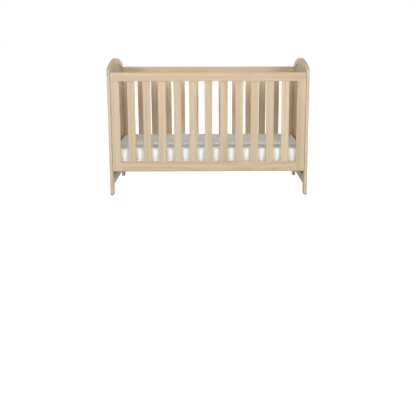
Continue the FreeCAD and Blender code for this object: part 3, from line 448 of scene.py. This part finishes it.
def pad_mesh(name, outline, columns, rows, levels, crown):
    """A closed pad of quads: two grids joined by a border.

    Levels are (height, growth) of the border's rings from the top one to the bottom one,
    and crown raises the middle of the top.
    """
    build = bmesh.new()

    def sheet(height, growth, raised):
        shape = outline.grown(growth)
        grid = []
        for row in range(rows + 1):
            line = []
            for column in range(columns + 1):
                along = 2 * column / columns - 1
                across = 2 * row / rows - 1
                where = outline.half * np.array((along, across))
                x, y = shape.pull_in(where * ((outline.half + growth) / outline.half))
                fullness = 1 - max(abs(along) ** 6, abs(across) ** 4)
                line.append(build.verts.new((x, y, height + raised * fullness)))
            grid.append(line)
        return grid

    def rim(grid):
        bottom_side = grid[0][:-1]
        right_side = [line[-1] for line in grid[:-1]]
        top_side = grid[-1][:0:-1]
        left_side = [line[0] for line in grid[:0:-1]]
        return bottom_side + right_side + top_side + left_side

    upper = sheet(*levels[0], crown)
    lower = sheet(*levels[-1], 0)
    for grid, flip in ((upper, False), (lower, True)):
        for row in range(rows):
            for column in range(columns):
                face = [
                    grid[row][column],
                    grid[row][column + 1],
                    grid[row + 1][column + 1],
                    grid[row + 1][column],
                ]
                build.faces.new(reversed(face) if flip else face)

    rings = [rim(upper)]
    spots = [np.array((round(v.co.x, 9), round(v.co.y, 9))) for v in rings[0]]
    top_half = outline.half + levels[0][1]
    for height, growth in levels[1:-1]:
        shape = outline.grown(growth)
        ring = []
        for spot in spots:
            where = shape.push_out(spot * (outline.half + growth) / top_half)
            ring.append(build.verts.new((*where, height)))
        rings.append(ring)
    rings.append(rim(lower))
    for one, two in zip(rings, rings[1:]):
        for index, corner in enumerate(one):
            after = (index + 1) % len(one)
            build.faces.new((one[after], corner, two[index], two[after]))
    return mesh_object(name, build)


def tube(name, path, radius, slack, sides=12, smoothings=6):
    """A closed round tube along a closed path, that wanders by the slack as sewn piping does."""
    build = bmesh.new()
    count = len(path)
    draw = np.random.default_rng(count)
    waves = draw.normal(size=count)
    for _ in range(smoothings):
        waves = (waves + np.roll(waves, 1) + np.roll(waves, -1)) / 3
    waves *= slack / float(np.abs(waves).max())
    path = [Vector((*spot[:2], spot[2] + float(wave))) for spot, wave in zip(path, waves)]
    rings = []
    for index, point in enumerate(path):
        ahead = path[(index + 1) % count] - path[index - 1]
        ahead.normalize()
        side = ahead.cross(Vector((0, 0, 1))).normalized()
        up = side.cross(ahead)
        ring = []
        for step in range(sides):
            angle = math.tau * step / sides
            offset = radius * (math.cos(angle) * side + math.sin(angle) * up)
            ring.append(build.verts.new(point + offset))
        rings.append(ring)
    for index in range(count):
        one, two = rings[index], rings[(index + 1) % count]
        for step in range(sides):
            after = (step + 1) % sides
            build.faces.new((one[step], one[after], two[after], two[step]))
    return mesh_object(name, build)


# ---------------------------------------------------------------- mattress

# The cover's sides start this far inside the CAD's solid, to leave room for its swell.
COVER_INSET = 4 * MM
COVER_CORNER = 40 * MM
COVER_COLUMNS, COVER_ROWS = 116, 58
COVER_CROWN = 3 * MM

# The rings round an edge, from its panel over the seam to the border: how far each lies below the
# CAD's top or above its bottom, and how far outside the outline, or inside where negative.
EDGE_RINGS = ((1 * MM, -15 * MM), (5 * MM, -5 * MM), (9 * MM, -3.5 * MM), (15 * MM, -0.5 * MM))
SEAM_DROP, SEAM_GROWTH = EDGE_RINGS[1]
BORDER_STEPS = 3

# How the cover swells: its filling's pressure, the simulated frames, and how far a point may move.
PRESSURE = 4.0
SWELL_FRAMES = 20
SWELL_SIDEWAYS = 5 * MM
SWELL_UP, SINK = 8 * MM, 1 * MM

# How far the top lies lower at its ends and at its sides.
END_SAG, SIDE_SAG = 4 * MM, 2 * MM

# The pipings: their radius, how far they lie outside the seam, how far they wander up and down,
# and how far apart the points of their paths are.
PIPING_RADIUS = 2.6 * MM
PIPING_OUT = 1 * MM
PIPING_SLACK = 0.5 * MM
PIPING_PITCH = 12 * MM


def edge_sag(x, y, half):
    """How far the top sinks near the ends and sides, where the foam gives."""
    return (abs(x) / half.x) ** 8 * END_SAG + (abs(y) / half.y) ** 6 * SIDE_SAG


def swell(piece, held):
    """Blows a cover up a little between its held points, as its filling does."""
    group = piece.vertex_groups.new(name="held")
    group.add([int(i) for i in np.flatnonzero(held)], 1.0, "REPLACE")
    cloth = piece.modifiers.new("Cloth", "CLOTH")
    settings = cloth.settings
    settings.quality = 5
    settings.mass = 0.3
    settings.use_pressure = True
    settings.uniform_pressure_force = PRESSURE
    settings.vertex_group_mass = "held"
    settings.tension_stiffness = 16
    settings.compression_stiffness = 16
    settings.bending_stiffness = 0.5
    settings.shrink_min = -0.01
    settings.effector_weights.gravity = 0
    cloth.point_cache.frame_start = 1
    cloth.point_cache.frame_end = SWELL_FRAMES
    for number in range(1, SWELL_FRAMES + 1):
        bpy.context.scene.frame_set(number)
    apply_modifiers(piece)
    piece.vertex_groups.clear()
    bpy.context.scene.frame_set(1)


def cover_levels(middle, top):
    """The (height, growth) of the cover's rings, from the top panel down to the bottom one."""
    levels = [(top - drop, growth) for drop, growth in EDGE_RINGS]
    edge_end = levels[-1][0]
    step = (edge_end - middle) / BORDER_STEPS
    levels += [(edge_end - step * number, 0.0) for number in range(1, BORDER_STEPS + 1)]
    return levels + [(2 * middle - height, growth) for height, growth in reversed(levels[:-1])]


def build_cover(outline, low, high):
    """The padded cotton cover: it swells between its seams and lies flat on the base."""
    half = (high - low) / 2
    middle = (low.z + high.z) / 2
    levels = cover_levels(middle, high.z)
    cover = pad_mesh(
        "mattress_soft_cover", outline, COVER_COLUMNS, COVER_ROWS, levels, COVER_CROWN
    )
    start = points_of(cover)
    from_edge = half.z - np.abs(start[:, 2] - middle)
    on_seam = np.abs(from_edge - SEAM_DROP) < 1 * MM
    on_bottom = start[:, 2] < low.z + SEAM_DROP
    swell(cover, on_seam | on_bottom)

    moved = points_of(cover) - start
    sideways = np.linalg.norm(moved[:, :2], axis=1)
    moved[:, :2] *= np.minimum(1, SWELL_SIDEWAYS / np.maximum(sideways, 1e-9))[:, None]
    moved[:, 2] = np.clip(moved[:, 2], -SINK, SWELL_UP)
    final = start + moved
    sag = edge_sag(start[:, 0], start[:, 1], half)
    final[:, 2] -= np.where(start[:, 2] > middle, sag, 0)
    final[:, 2] = np.maximum(final[:, 2], low.z)
    cover.data.vertices.foreach_set("co", final.ravel())
    cover.data.update()

    finer = cover.modifiers.new("Finer", "SUBSURF")
    finer.levels = 1
    finer.render_levels = 1
    apply_modifiers(cover)
    smooth(cover.data)
    cover.data.materials.append(cotton("mattress_cotton", srgb(244, 249, 247), 1.1 * MM))
    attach(cover, "mattress")
    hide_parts("mattress_cover", "mattress_core")


def build_pipings(outline, low, high):
    """A piping on the cover's top seam, which sinks with it, and one on its bottom seam."""
    half = (high - low) / 2
    trim = cotton("piping_cotton", srgb(246, 250, 248), 0.8 * MM)
    round_seam = outline.grown(SEAM_GROWTH + PIPING_OUT).ring(PIPING_PITCH)
    for label, level in (("top", high.z - SEAM_DROP), ("bottom", low.z + SEAM_DROP)):
        path = []
        for x, y in round_seam:
            drop = edge_sag(x, y, half) if label == "top" else 0
            path.append(Vector((x, y, level - drop)))
        piping = tube(f"mattress_{label}_piping", path, PIPING_RADIUS, PIPING_SLACK)
        piping.data.materials.append(trim)
        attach(piping, "mattress")


def build_mattress():
    """A foam mattress in a cotton cover, with piping round its top and bottom."""
    low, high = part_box("mattress_cover")
    half = (high - low) / 2
    outline = RoundedRectangle(half.x - COVER_INSET, half.y - COVER_INSET, COVER_CORNER)
    build_cover(outline, low, high)
    build_pipings(outline, low, high)


# ---------------------------------------------------------------- stage, light and camera

# The strength of the surround's light on the cot.
WORLD_LEVEL = 0.13

# The floor: half its width in metres, how much the light on it counts where the camera sees it,
# and its colour for the light that it throws back on the cot.
FLOOR_REACH = 60
FLOOR_SHADE = 0.45
FLOOR_GREY = (0.12, 0.12, 0.12, 1)

# What the lamps are aimed at.
COT_MIDDLE = Vector((0, 0, 0.5))


def build_stage():
    """A pale floor that runs into a white surround and keeps the cot's shadow."""
    build = bmesh.new()
    bmesh.ops.create_grid(build, x_segments=1, y_segments=1, size=FLOOR_REACH)
    floor = mesh_object("floor", build)
    shade = Shader("pale_floor")
    shade.finish(Base_Color=FLOOR_GREY, Roughness=1.0, Specular_IOR_Level=0.0)
    # The surround's light brings this up to white, and the cot's shadow keeps some of it off.
    glow = shade.add("Emission", Color=WHITE, Strength=1 - FLOOR_SHADE * WORLD_LEVEL)
    catcher = shade.add("BsdfDiffuse", Color=(FLOOR_SHADE,) * 3 + (1,))
    both = shade.add("AddShader")
    shade.set(both, 0, glow.outputs[0])
    shade.set(both, 1, catcher.outputs[0])
    shade.show("Material Output", shade.surface, both)
    floor.data.materials.append(shade.material)


def build_world():
    """An even white surround; what the camera sees of it is plain white."""
    world = bpy.data.worlds.new("surround")
    world.use_nodes = True
    surround = NodeTree(world.node_tree)
    background = surround.tree.nodes["Background"]
    surround.set(background, "Color", WHITE)
    surround.set(background, "Strength", WORLD_LEVEL)
    white = surround.add("Background", Color=WHITE, Strength=1.0)
    surround.show("World Output", background, white)
    bpy.context.scene.world = world


def soft_box(name, place, size, power):
    """A square area lamp aimed at the middle of the cot."""
    lamp = bpy.data.lights.new(name, "AREA")
    lamp.shape = "SQUARE"
    lamp.size = size
    lamp.energy = power
    holder = bpy.data.objects.new(name, lamp)
    holder.location = place
    aim = COT_MIDDLE - Vector(place)
    holder.rotation_euler = aim.to_track_quat("-Z", "Y").to_euler()
    bpy.context.scene.collection.objects.link(holder)


def build_lights():
    """Soft boxes: three in front, one above, one behind, and low ones at the ends and rear corners."""
    soft_box("left_lamp", (-2.8, -4.9, 2.4), size=1.4, power=120)
    soft_box("right_lamp", (2.8, -4.9, 2.4), size=1.4, power=134)
    soft_box("front_lamp", (0.0, -5.8, 1.5), size=1.8, power=66)
    soft_box("top_lamp", (0.0, -0.95, 4.4), size=0.6, power=20)
    soft_box("rear_lamp", (0.0, 4.6, 2.4), size=1.6, power=10)
    for sign, name in ((-1, "left"), (1, "right")):
        soft_box(f"{name}_end_lamp", (sign * 5.0, 0.3, 0.4), size=1.2, power=95)
        soft_box(f"{name}_rear_lamp", (sign * 3.8, 4.0, 0.5), size=1.2, power=105)


# The photograph's viewpoint in metres, its direction in radians and its lens in millimetres. The
# shift, in parts of the image's width, is smaller than the photograph's own, so that the views
# from other sides hold the whole cot.
EYE = (0.0062, -5.2953, 1.2196)
YAW, PITCH, ROLL = 0.0129, -0.2003, -0.0009
LENS = 59.00
SENSOR = 36.0
SHIFT = (-0.0243, -0.1000)


def build_camera():
    """A camera that looks along Y, turned by the yaw, tipped by the pitch and then rolled."""
    data = bpy.data.cameras.new("camera")
    data.lens = LENS
    data.sensor_width = SENSOR
    data.shift_x, data.shift_y = SHIFT
    camera = bpy.data.objects.new("camera", data)
    camera.location = EYE
    ahead = Vector((
        math.sin(YAW) * math.cos(PITCH), math.cos(YAW) * math.cos(PITCH), math.sin(PITCH)
    ))
    right = Vector((math.cos(YAW), -math.sin(YAW), 0))
    up = right.cross(ahead)
    rolled_right = right * math.cos(ROLL) + up * math.sin(ROLL)
    rolled_up = up * math.cos(ROLL) - right * math.sin(ROLL)
    turn = Matrix((rolled_right, rolled_up, -ahead)).transposed()
    camera.rotation_mode = "QUATERNION"
    camera.rotation_quaternion = turn.to_quaternion()
    bpy.context.scene.collection.objects.link(camera)
    bpy.context.scene.camera = camera


# ---------------------------------------------------------------- the scene

dress_wood()
dress_fittings()
build_mattress()
build_stage()
build_world()
build_lights()
build_camera()
bpy.context.scene.view_settings.view_transform = "Standard"
